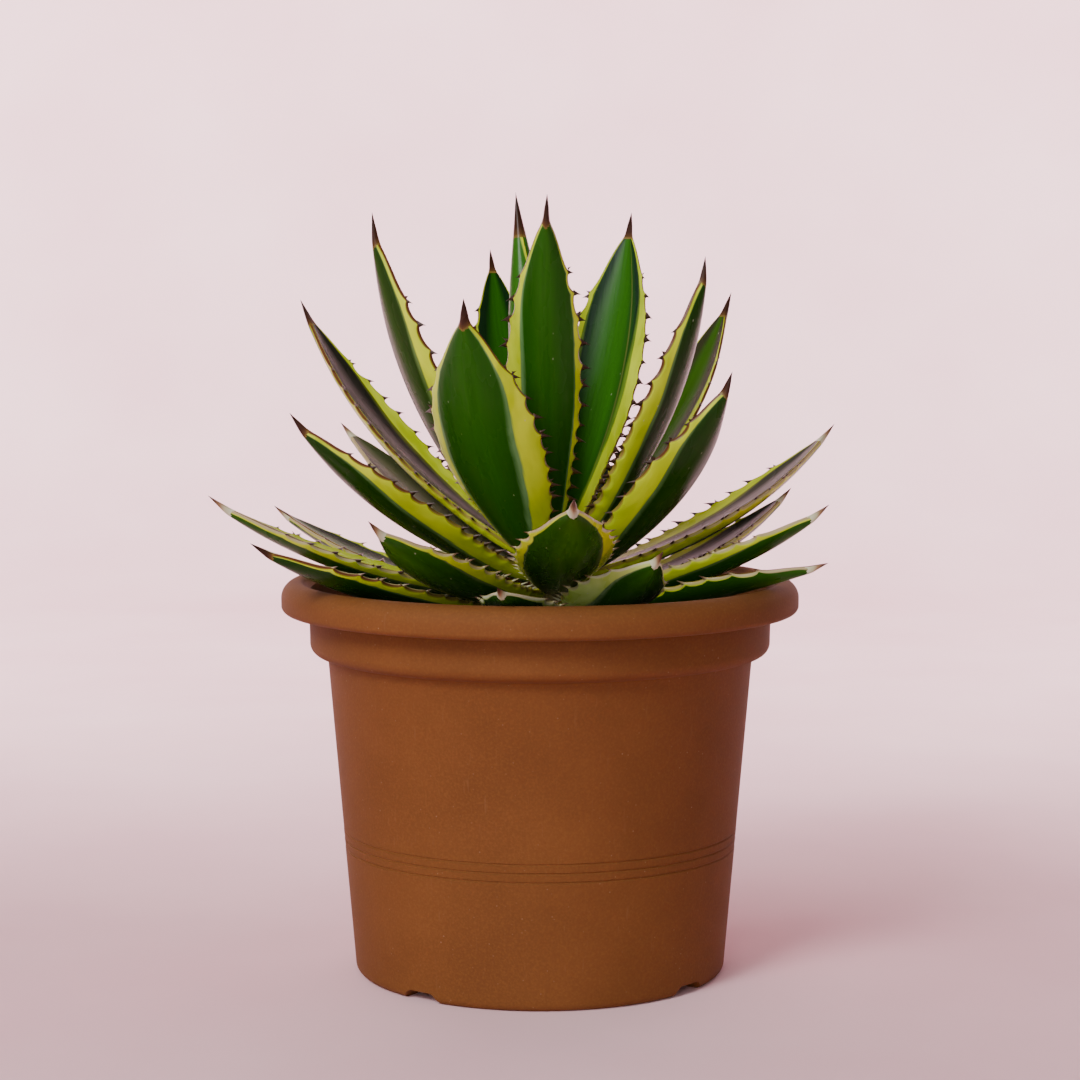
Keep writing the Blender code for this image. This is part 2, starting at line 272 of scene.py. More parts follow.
def pot_profile():
    """Down the outside from the crown of the rim, under the floor, and up the inside."""
    # The rolled rim, its thin lip, and the hollow between the lip and the neck.
    points = arc((RIM_RADIUS - RIM_ROLL, POT_HEIGHT - RIM_ROLL), RIM_ROLL, 90, 0, 14)
    points += arc((RIM_RADIUS - RIM_LIP, RIM_LIP_Z + RIM_LIP), RIM_LIP, -10, -90, 8)
    points += arc((RIM_RADIUS - RIM_LIP - MM, RIM_LIP_Z + MM), MM, -90, -180, 4)
    points.append((RIM_RADIUS - 4.6 * MM, POT_HEIGHT - 8 * MM))
    points += arc((NECK_RADIUS + 2 * MM, POT_HEIGHT - 10.5 * MM), 1.5 * MM, 90, 180, 4)
    # The neck band, and the step under it.
    points.append((NECK_RADIUS + 0.1 * MM, NECK_Z + 9 * MM))
    points += arc((NECK_RADIUS - NECK_CORNER, NECK_Z + 3.5 * MM), NECK_CORNER, 0, -68, 8)
    points.append((BODY_TOP_RADIUS + 1.2 * MM, NECK_Z - 1.6 * MM))
    points.append((BODY_TOP_RADIUS, NECK_Z - 4 * MM))
    # The tapered wall with its rings, down to the rounded foot.
    slope = (BODY_TOP_RADIUS - BODY_FOOT_RADIUS) / (NECK_Z - 7 * MM)
    for ring_z in reversed(RING_HEIGHTS):
        radius = BODY_FOOT_RADIUS + slope * (ring_z - FOOT_CORNER)
        points.append((radius, ring_z + RING_HALF_WIDTH))
        points.append((radius - RING_DEPTH, ring_z + RING_BOTTOM_HALF))
        points.append((radius - RING_DEPTH, ring_z - RING_BOTTOM_HALF))
        points.append((radius, ring_z - RING_HALF_WIDTH))
    points += arc((BODY_FOOT_RADIUS - FOOT_CORNER, FOOT_CORNER), FOOT_CORNER, 0, -90, 8)
    # Under the raised floor, back over it, and up the inside.
    inner_foot = BODY_FOOT_RADIUS - POT_WALL
    points += [
        (BODY_FOOT_RADIUS - FOOT_RING, 0),
        (BODY_FOOT_RADIUS - FOOT_RING - 1.5 * MM, POT_FLOOR_Z),
        (DRAIN_HOLE_RADIUS, POT_FLOOR_Z),
        (DRAIN_HOLE_RADIUS, POT_FLOOR_Z + POT_WALL),
        (inner_foot - 4 * MM, POT_FLOOR_Z + POT_WALL),
        (inner_foot, POT_FLOOR_Z + POT_WALL + 4 * MM),
        (BODY_TOP_RADIUS - POT_WALL, NECK_Z - 2 * MM),
        (NECK_RADIUS - POT_WALL, NECK_Z + 5 * MM),
        (NECK_RADIUS - POT_WALL + 2 * MM, POT_HEIGHT - 3.2 * MM),
    ]
    points += arc((RIM_RADIUS - RIM_ROLL, POT_HEIGHT - 2.2 * MM), 2.2 * MM, 165, 105, 3)
    return points


pot = new_piece("pot_shell", turned_mesh("pot_shell", pot_profile(), POT_SIDES),
                terracotta_plastic())
cut_away(pot, [notch_mesh(turn) for turn in NOTCH_TURNS]
         + [hole_mesh(turn + 45) for turn in NOTCH_TURNS])
pot.data.set_sharp_from_angle(angle=math.radians(38))
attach(pot, "root")
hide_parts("pot")


# Soil. A gritty cactus mix of peat, bark and pumice, filled to a little below the rim: one dark
# crumbly bed, and loose chips and grit of 1.5 to 5 mm lying on top of it.

SOIL_LOW, SOIL_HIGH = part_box("soil")
SOIL_RADIUS = SOIL_HIGH.x
SOIL_TOP = SOIL_HIGH.z - 1.5 * MM
SOIL_RINGS = 70
SOIL_SIDES = 220
CRUMB_HEIGHT = 1.4 * MM
GRIT_COUNT = 900


def soil_height(x, y):
    """The crumbly top of the bed: lumps of about 9 mm with crumbs of 3 mm on them."""
    lumps = noise.noise(Vector((x, y, 0)) / (9 * MM))
    crumbs = noise.noise(Vector((x, y, 7 * MM)) / (3 * MM))
    crown = 1.5 * MM * (1 - (x * x + y * y) / SOIL_RADIUS**2)
    return SOIL_TOP - 0.6 * MM + crown + CRUMB_HEIGHT * (0.6 * lumps + 0.4 * crumbs)


def potting_mix():
    """Damp peat and fine bark: very dark brown, crumbly, with no shine."""
    finish, tree, shader = new_finish("peat and bark mix")
    place = add(tree, "TexCoord").outputs["Object"]
    crumbs = add(tree, "TexNoise", {"Vector": place, "Scale": 1 / (2.5 * MM), "Detail": 6})
    base = add(tree, "ValToRGB", {"Fac": crumbs.outputs["Fac"]},
               stops=((0.35, "1C140E"), (0.55, "33261B"), (0.7, "4C3B2B")))
    tree.links.new(base.outputs["Color"], shader.inputs["Base Color"])
    relief = add(tree, "Bump", {"Height": crumbs.outputs["Fac"], "Strength": 0.8,
                                "Distance": 0.8 * MM})
    tree.links.new(relief.outputs[0], shader.inputs["Normal"])
    shader.inputs["Roughness"].default_value = 0.95
    return finish


def soil_mesh():
    """A turned block under a top of fine rings that follow the crumbs."""
    shoulder = BODY_TOP_RADIUS - POT_WALL - 0.3 * MM
    foot = BODY_FOOT_RADIUS - POT_WALL - 0.3 * MM
    below = [
        (SOIL_RADIUS, NECK_Z + 5 * MM),
        (shoulder, NECK_Z - 2 * MM),
        (foot, SOIL_LOW.z + 4 * MM),
        (foot - 4 * MM, SOIL_LOW.z),
        (0, SOIL_LOW.z),
    ]
    top = [(SOIL_RADIUS * i / SOIL_RINGS, SOIL_TOP) for i in range(SOIL_RINGS + 1)]
    mesh = turned_mesh("soil_bed", top + below, SOIL_SIDES)
    for vertex in mesh.vertices:
        if vertex.co.z > SOIL_TOP - 0.1 * MM:
            vertex.co.z = soil_height(vertex.co.x, vertex.co.y)
    return mesh


def dry_mottled(name, dark, pale):
    """A chip of bark or stone, or the old stem: dry, rough all over, mottled at 1 mm."""
    finish, tree, shader = new_finish(name)
    place = add(tree, "TexCoord").outputs["Object"]
    mottle = add(tree, "TexNoise", {"Vector": place, "Scale": 1 / MM, "Detail": 4})
    base = add(tree, "ValToRGB", {"Fac": mottle.outputs["Fac"]},
               stops=((0.35, dark), (0.65, pale)))
    tree.links.new(base.outputs["Color"], shader.inputs["Base Color"])
    shader.inputs["Roughness"].default_value = 0.9
    return finish


def grit_mesh():
    """Loose angular chips, each a squashed and jittered icosphere, set into the bed."""
    draw = random.Random(11)
    bm = bmesh.new()
    for _ in range(GRIT_COUNT):
        radius = math.sqrt(draw.random()) * (SOIL_RADIUS - 4 * MM)
        turn = draw.uniform(0, 360)
        centre = front_direction(turn) * radius
        size = draw.choice((0.8, 1, 1.2, 1.6, 2.3)) * MM
        chip = bmesh.ops.create_icosphere(bm, subdivisions=1, radius=size)["verts"]
        squash = Vector((draw.uniform(0.8, 1.4), draw.uniform(0.6, 1), draw.uniform(0.35, 0.7)))
        spin = Vector((draw.uniform(-0.5, 0.5), draw.uniform(-0.5, 0.5), draw.uniform(0, 6)))
        centre.z = soil_height(centre.x, centre.y) + 0.2 * size
        kind = draw.choices((0, 1, 2), (5, 3, 2))[0]
        for vertex in chip:
            vertex.co *= draw.uniform(0.8, 1.15)
            vertex.co = Vector(a * b for a, b in zip(vertex.co, squash))
            vertex.co.rotate(spin.to_track_quat("Z", "Y"))
            vertex.co += centre
        for face in {face for vertex in chip for face in vertex.link_faces}:
            face.material_index = kind
    mesh = bpy.data.meshes.new("loose_grit")
    bm.to_mesh(mesh)
    bm.free()
    return mesh


soil = new_piece("soil_bed", soil_mesh(), potting_mix())
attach(soil, "root")
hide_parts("soil")
bark = dry_mottled("bark chip", "2A1C13", "54402E")
pumice = dry_mottled("pumice", "7C776B", "B3AEA0")
granite = dry_mottled("granite grit", "3A3733", "6A645C")
grit = new_piece("loose_grit", grit_mesh(), bark, pumice, granite)
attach(grit, "root")
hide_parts("soil")


# Stem. The agave's short woody stem, hidden by the leaf bases: tan, with the rings that old leaves
# left on it.

STEM_LOW, STEM_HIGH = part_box("stem")
STEM_CENTRE = (STEM_LOW + STEM_HIGH) / 2
STEM_RINGS = 60
STEM_SIDES = 48
SCAR_SWELL = 0.35 * MM


def stem_mesh():
    """A turned stem that narrows upwards and swells a little at each leaf scar."""
    height = STEM_HIGH.z - STEM_LOW.z
    widest = (STEM_HIGH.x - STEM_LOW.x) / 2
    points = [(0, STEM_HIGH.z)]
    for i in range(STEM_RINGS + 1):
        share = i / STEM_RINGS
        radius = widest * (0.45 + 0.5 * min(share * 1.6, 1))
        points.append((radius + SCAR_SWELL * math.sin(share * 60), STEM_HIGH.z - height * share))
    points.append((0, STEM_LOW.z))
    mesh = turned_mesh("short_stem", points, STEM_SIDES)
    for vertex in mesh.vertices:
        vertex.co.x += STEM_CENTRE.x
    return mesh


stem = new_piece("short_stem", stem_mesh(), dry_mottled("fibrous stem", "6B5A3A", "A39463"))
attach(stem, "root")
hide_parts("stem")


# Leaves. Each is a stiff, fleshy, waxy blade grown in one piece: dark green down the middle with
# yellow margins, a thin horny edge with hooked brown teeth every 5 to 9.5 mm, and a woody end spine.

ROW_STEP = 0.7 * MM
# Points of a row from the margin (1) to the midrib (0), as shares of the half width.
ROW_PLACES = (1, 0.985, 0.96, 0.92, 0.86, 0.78, 0.68, 0.56, 0.42, 0.27, 0.13, 0)
# Shares of the half thickness on the face and on the back, and how fast the edge thickens.
FACE_FULLNESS = 0.6
BACK_FULLNESS = 1.4
EDGE_FULLNESS = 1.6
# The blade's root clasps the stem: it is wider by this share than the solid leaf's.
ROOT_FLARE = 0.55
# The solid leaf's section, counted from its root, where the end spine starts.
SPINE_SECTION = 10
SPINE_COLLAR = 1.6 * MM
# Teeth stand between these shares of the length, closer together near the root.
TEETH_FROM = 0.13
TEETH_TO = 0.80
LOW_TOOTH_GAP = 5 * MM
HIGH_TOOTH_GAP = 9.5 * MM
TOOTH_LENGTH = {"dark": 4.2 * MM, "pale": 3 * MM}
TOOTH_RINGS = 5
SCALLOP_DEPTH = 1.4 * MM
# How far apart two leaves' patterns are taken, so that no two look alike.
PATTERN_STEP = 7.3

# Horn from where it starts to its point.
DARK_HORN = ((0.0, "75602C"), (0.05, "54381E"), (0.22, "3A2216"), (0.7, "2A160E"), (1, "22140E"))
PALE_HORN = ((0.0, "BFC2A4"), (0.25, "AFAA88"), (0.45, "86694A"), (0.7, "523426"), (1, "36221A"))
TAN_HORN = ((0.1, "BCB890"), (0.3, "9A8660"), (0.55, "5E4430"), (0.8, "3E281C"), (1, "2E1C14"))


def horn(name, tones):
    """Horn of a tooth: hard and dry, so half glossy, darkening to a red-brown point."""
    finish, tree, shader = new_finish(name)
    grown = add(tree, "Attribute", attribute_name="horn").outputs["Fac"]
    base = add(tree, "ValToRGB", {"Fac": grown}, stops=tones)
    tree.links.new(base.outputs["Color"], shader.inputs["Base Color"])
    shader.inputs["Roughness"].default_value = 0.42
    return finish


def leaf_skin(name, middle, flank, blend, band, horn_tones, stripe=0.3, edge="5A3420", scars=0.5,
              wax=0.2, crease=None):
    """Waxy leaf skin over wet flesh: a wide soft highlight, streaks along the leaf, yellow margins
    that end in a pale blended line, a thin brown horny edge, and small dry white scars."""
    finish, tree, shader = new_finish(name)
    place = add(tree, "Attribute", attribute_name="place").outputs["Vector"]
    zone = add(tree, "SeparateXYZ",
               {0: add(tree, "Attribute", attribute_name="zone").outputs["Vector"]})
    grown = add(tree, "Attribute", attribute_name="horn").outputs["Fac"]
    lengthways = add(tree, "Mapping", {"Vector": place, "Scale": (0.9, 0.045, 1)})
    streaks = add(tree, "TexNoise", {"Vector": lengthways.outputs[0], "Scale": 1, "Detail": 4})
    blotch_place = add(tree, "Mapping", {"Vector": place, "Scale": (0.16, 0.05, 1)})
    blotches = add(tree, "TexNoise", {"Vector": blotch_place.outputs[0], "Scale": 1, "Detail": 2})
    # From the midrib outwards: the middle stripe, then the darker flanks.
    side = add(tree, "Math", {0: zone.outputs[0]}, operation="ABSOLUTE")
    wander = add(tree, "MapRange", {"Value": streaks.outputs["Fac"], "To Min": -0.16, "To Max": 0.16})
    stripe_place = add(tree, "Math", {0: side.outputs[0], 1: wander.outputs[0]}, operation="ADD")
    centre = add(tree, "ValToRGB", {"Fac": stripe_place.outputs[0]},
                 stops=((stripe * 0.6, middle), (stripe * 1.4 + 0.05, flank)))
    streaked = add(tree, "Mix", {0: 0.3, 6: centre.outputs["Color"], 7: streaks.outputs["Fac"]},
                   data_type="RGBA", blend_type="SOFT_LIGHT")
    # A pale line left by the edge of the leaf that pressed on this one in the bud.
    if crease is not None:
        offset = add(tree, "Math", {0: zone.outputs[0], 1: crease}, operation="SUBTRACT")
        distance = add(tree, "Math", {0: offset.outputs[0]}, operation="ABSOLUTE")
        on_crease = add(tree, "ValToRGB", {"Fac": distance.outputs[0]},
                        stops=((0.01, "BBBBBB"), (0.03, "000000")))
        streaked = add(tree, "Mix", {0: on_crease.outputs["Color"], 6: streaked.outputs[2],
                                     7: linear("6E6E34")}, data_type="RGBA")
    # The yellow margin, and the blended line where it meets the green.
    shift = add(tree, "MapRange", {"Value": streaks.outputs["Fac"], "To Min": -0.1, "To Max": 0.1})
    band_place = add(tree, "Math", {0: zone.outputs[1], 1: shift.outputs[0]}, operation="ADD")
    halved = add(tree, "Math", {0: band_place.outputs[0], 1: 0.5}, operation="MULTIPLY")
    in_band = add(tree, "ValToRGB", {"Fac": halved.outputs[0]},
                  stops=((0.46, "FFFFFF"), (0.5, "000000")))
    in_blend = add(tree, "ValToRGB", {"Fac": halved.outputs[0]},
                   stops=((0.54, "FFFFFF"), (0.64, "000000")))
    blended_amount = add(tree, "Math", {0: in_blend.outputs["Color"], 1: blotches.outputs["Fac"]},
                         operation="MULTIPLY")
    with_blend = add(tree, "Mix", {0: blended_amount.outputs[0], 6: streaked.outputs[2],
                                   7: linear(blend)}, data_type="RGBA")
    yellow = add(tree, "ValToRGB", {"Fac": blotches.outputs["Fac"]},
                 stops=((0.35, band[0]), (0.65, band[1])))
    with_band = add(tree, "Mix", {0: in_band.outputs["Color"], 6: with_blend.outputs[2],
                                  7: yellow.outputs["Color"]}, data_type="RGBA")
    # Small dry scars, longer along the leaf than across it.
    scar_place = add(tree, "Mapping", {"Vector": place, "Scale": (0.22, 0.1, 1)})
    scar_cells = add(tree, "TexVoronoi", {"Vector": scar_place.outputs[0], "Scale": 1})
    scar = add(tree, "ValToRGB", {"Fac": scar_cells.outputs["Distance"]},
               stops=((0.03, "FFFFFF"), (0.06, "000000")))
    scar_amount = add(tree, "Math", {0: scar.outputs["Color"], 1: scars}, operation="MULTIPLY")
    scarred = add(tree, "Mix", {0: scar_amount.outputs[0], 6: with_band.outputs[2],
                                7: linear("B9B99C")}, data_type="RGBA")
    # The horny edge, still pale and soft near the root, and the end spine.
    from_root = add(tree, "SeparateXYZ", {0: place})
    ripe = add(tree, "MapRange", {"Value": from_root.outputs[1], "From Min": 25, "From Max": 70})
    edge_tone = add(tree, "Mix", {0: ripe.outputs[0], 6: linear("98893C"), 7: linear(edge)},
                    data_type="RGBA")
    on_edge = add(tree, "ValToRGB", {"Fac": zone.outputs[2]},
                  stops=((0.1, "FFFFFF"), (0.32, "000000")))
    edged = add(tree, "Mix", {0: on_edge.outputs["Color"], 6: scarred.outputs[2],
                              7: edge_tone.outputs[2]}, data_type="RGBA")
    spine = add(tree, "ValToRGB", {"Fac": grown}, stops=horn_tones)
    on_spine = add(tree, "Math", {0: grown, 1: 0.001}, operation="GREATER_THAN")
    skin = add(tree, "Mix", {0: on_spine.outputs[0], 6: edged.outputs[2],
                             7: spine.outputs["Color"]}, data_type="RGBA")
    tree.links.new(skin.outputs[2], shader.inputs["Base Color"])
    gloss = add(tree, "MapRange", {"Value": blotches.outputs["Fac"], "To Min": 0.2, "To Max": 0.36})
    tree.links.new(gloss.outputs[0], shader.inputs["Roughness"])
    relief = add(tree, "Bump", {"Height": streaks.outputs["Fac"], "Strength": 0.25,
                                "Distance": 0.3 * MM})
    tree.links.new(relief.outputs[0], shader.inputs["Normal"])
    shader.inputs["IOR"].default_value = 1.42
    shader.inputs["Specular IOR Level"].default_value = wax
    return finish


# Colours of the margins, each a darker and a lighter tone, and the weak shine of a dry face.
YELLOW = ("A8BB04", "C8D728")
CREAM = ("A8A868", "C4C48C")
LIME = ("98AE40", "BCCA74")
DULL = 0.06

LEAF_BACKS = {
    "green": leaf_skin("waxy green back", "1F5301", "194A01", "7FA86E", YELLOW, DARK_HORN),
    "deep": leaf_skin("waxy deep green back", "1C4202", "143602", "6F9458", YELLOW, DARK_HORN),
    "olive": leaf_skin("waxy olive back", "26440A", "1C3806", "6F8A4A", YELLOW, DARK_HORN),
    "low": leaf_skin("waxy shaded back", "28560A", "1C4408", "83996A", LIME, PALE_HORN,
                     edge="BDBA9A"),
    "old": leaf_skin("waxy old back", "2D5C04", "204C04", "6E8250", YELLOW, PALE_HORN,
                     edge="A4976E", scars=0.8),
}
LEAF_FACES = {
    "bright": leaf_skin("waxy bright face", "255E01", "0A2A10", "7F9F2E", YELLOW, DARK_HORN,
                        stripe=0.42, wax=0.2, crease=-0.45),
    "charcoal": leaf_skin("waxy bronzed face", "3C372E", "1B1E14", "6E7820", YELLOW, DARK_HORN,
                          stripe=0.2, wax=DULL),
    # This face's lilac-grey middle stripe is a painted reflection of the pale pink backdrop, laid on
    # a dull face that barely shines by itself; the darker grey-green flanks are its own colour.
    "pink_sheen": leaf_skin("waxy grey face with painted pink sheen", "68605C", "34362A", "8A8C34", YELLOW, PALE_HORN,
                       stripe=0.25, edge="6E4E34", wax=DULL),
    "grey": leaf_skin("waxy grey-green face", "52563A", "3C4428", "80814C", CREAM, PALE_HORN,
                      edge="9A8A60", wax=DULL),
    "dark": leaf_skin("waxy dark face", "1E5202", "0C260C", "6F8438", YELLOW, DARK_HORN,
                      stripe=0.35, wax=DULL),
    "brown": leaf_skin("waxy brown-green face", "2E520A", "30301E", "6F8438", YELLOW, DARK_HORN,
                       stripe=0.35, wax=DULL),
}
TEETH = {"dark": horn("dark horn", DARK_HORN), "pale": horn("tan horn", TAN_HORN)}

# One row for each leaf, outermost first: back, face, teeth, and the yellow margin's width in mm on
# its left and right as seen from behind the leaf's back, with its tip up.
LEAF_LOOKS = (
    ("low", "grey", "pale", 2, 2),
    ("old", "dark", "pale", 0.6, 1),
    ("old", "grey", "pale", 3, 3),
    ("old", "grey", "pale", 3, 3),
    ("deep", "grey", "pale", 2.4, 3),
    ("low", "grey", "pale", 8, 2),
    ("old", "dark", "pale", 3, 3),
    ("old", "dark", "pale", 3, 3),
    ("old", "pink_sheen", "dark", 4, 5),
    ("old", "grey", "pale", 4, 4),
    ("old", "charcoal", "pale", 1.4, 4),
    ("old", "pink_sheen", "dark", 6.5, 3.6),
    ("old", "dark", "pale", 3.4, 6),
    ("deep", "dark", "dark", 3, 3),
    ("old", "grey", "pale", 2.5, 3),
    ("old", "pink_sheen", "dark", 5.5, 7),
    ("deep", "charcoal", "dark", 4, 6.8),
    ("deep", "charcoal", "dark", 7, 3),
    ("deep", "dark", "dark", 3, 3),
    ("deep", "pink_sheen", "dark", 4, 4),
    ("green", "dark", "dark", 5.6, 9),
    ("deep", "dark", "dark", 3, 3),
    ("deep", "charcoal", "dark", 7.5, 4.5),
    ("deep", "brown", "dark", 5, 3),
    ("olive", "dark", "dark", 1.2, 6.4),
    ("green", "dark", "dark", 3, 3),
    ("deep", "dark", "dark", 6, 3),
    ("green", "bright", "dark", 7, 5),
    ("green", "dark", "dark", 6.2, 3),
)


def unit(vector):
    """The vector at a length of 1."""
    return vector / np.linalg.norm(vector)


def ease(share):
    """Rises smoothly from 0 to 1 as the share does."""
    share = min(max(share, 0), 1)
    return share**2 * (3 - 2 * share)


def through(knots, values, places):
    """Smooth values at these places on the curve through the values at the knots."""
    values = np.asarray(values, float)
    slopes = np.gradient(values, knots, axis=0)
    seg = np.clip(np.searchsorted(knots, places, side="right") - 1, 0, len(knots) - 2)
    gap = knots[seg + 1] - knots[seg]
    t = (places - knots[seg]) / gap
    if values.ndim == 2:
        t = t[:, None]
        gap = gap[:, None]
    start = (1 + 2 * t) * (1 - t) ** 2 * values[seg] + t * (1 - t) ** 2 * gap * slopes[seg]
    end = t**2 * (3 - 2 * t) * values[seg + 1] + t**2 * (t - 1) * gap * slopes[seg + 1]
    return start + end


def solid_points(node):
    """The places of the solid's corners, each once."""
    points = np.array([vertex.co[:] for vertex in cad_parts[node].data.vertices])
    return np.unique(np.round(points, 6), axis=0)


def measured_leaf(node):
    """The solid leaf's midline, inner normal, half width, rise of its margins and thickness, at
    each of its sections, and its sideways axis. The last section is the point of its spine."""
    points = solid_points(node)
    foot = np.array(STEM_CENTRE)
    tip = points[np.argmax(np.linalg.norm(points - foot, axis=1))]
    root = points[np.argsort(-np.linalg.norm(points - tip, axis=1))[:12]].mean(0)
    along = unit(tip - root)
    rings = points[np.argsort((points - root) @ along)][:-1].reshape(-1, 12, 3)
    widest = rings[5]
    spread = np.linalg.norm(widest[:, None] - widest[None], axis=2)
    a, b = np.unravel_index(np.argmax(spread), spread.shape)
    across = unit(widest[b] - widest[a])
    inward = unit(np.cross(across, along))
    level = unit(np.array((along[0], along[1], 0)))
    if inward @ (np.array((0, 0, 1)) - level) < 0:
        inward = -inward
    across = unit(np.cross(inward, along))
    sections = []
    for ring in rings:
        x = (ring - root) @ across
        margins = (ring[np.argmin(x)] + ring[np.argmax(x)]) / 2
        middle_x = (x.min() + x.max()) / 2
        pair = ring[np.argsort(np.abs(x - middle_x))[:2]]
        pair = pair[np.argsort(pair @ inward)]
        thickness = np.linalg.norm(pair[1] - pair[0])
        up = unit(pair[1] - pair[0])
        middle = pair[0] + 0.7 * thickness * up
        sections.append((middle, up, (x.max() - x.min()) / 2, (margins - middle) @ up, thickness))
    sections.append((tip, sections[-1][1], 0.05 * MM, 0, 0.1 * MM))
    return [np.array(column) for column in zip(*sections)], across


def fine_rows(node):
    """The solid leaf's measures at fine rows along it, from its root to the point of its spine."""
    (middles, ups, halves, rises, thicks), across = measured_leaf(node)
    steps = np.linalg.norm(np.diff(middles, axis=0), axis=1)
    knots = np.concatenate(([0], np.cumsum(steps)))
    length = knots[-1]
    places = np.linspace(0, length, int(length / ROW_STEP))
    share = places / length
    half = np.maximum(through(knots, halves, places), 0.05 * MM)
    return SimpleNamespace(
        across=across,
        length=length,
        places=places,
        share=share,
        middle=through(knots, middles, places),
        up=[unit(row) for row in through(knots, ups, places)],
        half=half * (1 + ROOT_FLARE * np.clip(1 - share / 0.3, 0, 1) ** 2),
        thick=np.maximum(through(knots, thicks, places), 0.1 * MM),
        rise=through(knots, rises, places),
        spine_from=knots[SPINE_SECTION] - 0.5 * MM,
    )


def new_parts():
    """Empty lists for a mesh, and for the values that its materials read at each point: place, mm
    across and along the leaf; zone, how far out it is, its distance from the margin in widths
    of the yellow, and its mm from the edge; and horn, how far along a tooth or spine it is."""
    return {key: [] for key in ("points", "faces", "slots", "place", "zone", "horn")}


def add_skin(parts, rows, count, face_count):
    """Joins the rows into a closed skin. Its first columns are the leaf's face."""
    for j in range(rows - 1):
        for i in range(count):
            a = j * count + i
            b = j * count + (i + 1) % count
            parts["faces"].append((a, b, b + count, a + count))
            parts["slots"].append(1 if i < face_count else 0)
    parts["faces"].append(tuple(reversed(range(count))))
    parts["faces"].append(tuple(range((rows - 1) * count, rows * count)))
    parts["slots"] += [0, 0]


def skin_mesh(name, parts):
    """A smooth mesh of these parts that carries what its materials read."""
    mesh = bpy.data.meshes.new(name)
    mesh.from_pydata([tuple(point) for point in parts["points"]], [], parts["faces"])
    mesh.polygons.foreach_set("material_index", parts["slots"])
    for key, kind in (("place", "FLOAT_VECTOR"), ("zone", "FLOAT_VECTOR"), ("horn", "FLOAT")):
        attribute = mesh.attributes.new(key, kind, "POINT")
        values = np.array(parts[key], np.float32).ravel()
        attribute.data.foreach_set("value" if kind == "FLOAT" else "vector", values)
    mesh.shade_smooth()
    mesh.update()
    bm = bmesh.new()
    bm.from_mesh(mesh)
    bmesh.ops.recalc_face_normals(bm, faces=bm.faces)
    bm.to_mesh(mesh)
    bm.free()
    return mesh


def tooth_places(draw, length):
    """Distances of the teeth from the root, at uneven gaps that widen up to mid-length."""
    places = []
    at = length * TEETH_FROM
    while at < length * TEETH_TO:
        places.append(at)
        gap = LOW_TOOTH_GAP + (HIGH_TOOTH_GAP - LOW_TOOTH_GAP) * min(at / length / 0.5, 1)
        at += gap * draw.uniform(0.85, 1.15)
    return np.array(places)


def toothed_margin(draw, leaf):
    """Where one margin's teeth stand, and how far the margin dips between them at each row."""
    teeth = tooth_places(draw, leaf.length)
    stops = np.concatenate(([0], teeth, [leaf.length * 0.93]))
    gap = np.clip(np.searchsorted(stops, leaf.places, side="right") - 1, 0, len(stops) - 2)
    within = np.clip((leaf.places - stops[gap]) / (stops[gap + 1] - stops[gap]), 0, 1)
    towards_tip = np.clip((0.9 - leaf.share) / 0.15, 0, 1)
    narrow = np.clip((leaf.half / leaf.half.max() - 0.1) / 0.5, 0, 1)
    deep = np.array([draw.uniform(0.6, 1.15) for _ in stops])[gap]
    dips = SCALLOP_DEPTH * deep * towards_tip * narrow * (1 - np.abs(2 * within - 1) ** 2.4)
    return teeth, dips


def add_blade(parts, leaf, dips, widths, shift):
    """The blade's rows, each over the face from margin to margin and back under it, with the
    yellow's width on each side. Gives the two lines of points along the margins."""
    columns = [-u for u in ROW_PLACES] + list(reversed(ROW_PLACES[:-1]))
    loop = [(u, False) for u in columns] + [(u, True) for u in reversed(columns[1:-1])]
    margins = ([], [])
    for j, half in enumerate(leaf.half):
        place = leaf.places[j]
        taper = math.sqrt(min(half / leaf.half.max(), 1))
        taper *= 1 - 0.75 * ease((leaf.share[j] - 0.5) / 0.4)
        for u, back in loop:
            side = 0 if u < 0 else 1
            dip = dips[side][j]
            x = u * half - math.copysign(dip * ease((abs(u) - 0.75) / 0.25), u)
            out_share = abs(x) / half
            from_edge = max(half - dip - abs(x), 0)
            body = min(leaf.thick[j] / 2 * math.sqrt(max(1 - out_share**2, 0)),
                       EDGE_FULLNESS * math.sqrt(from_edge * MM))
            y = leaf.rise[j] * out_share**2 + (-BACK_FULLNESS if back else FACE_FULLNESS) * body
            point = leaf.middle[j] + leaf.across * x + leaf.up[j] * y
            parts["points"].append(point)
            parts["place"].append((x / MM, place / MM, shift))
            in_yellow = half * (1 - abs(u)) / (widths[side] * MM * taper)
            parts["zone"].append((u, in_yellow, from_edge / MM))
            collar = leaf.spine_from + (SPINE_COLLAR * (abs(u) - 0.6) if back else 0)
            parts["horn"].append(max(place - collar, 0) / (leaf.length - leaf.spine_from))
            if abs(u) == 1 and not back:
                margins[side].append(point)
    add_skin(parts, len(leaf.half), len(loop), len(columns) - 1)
    return margins


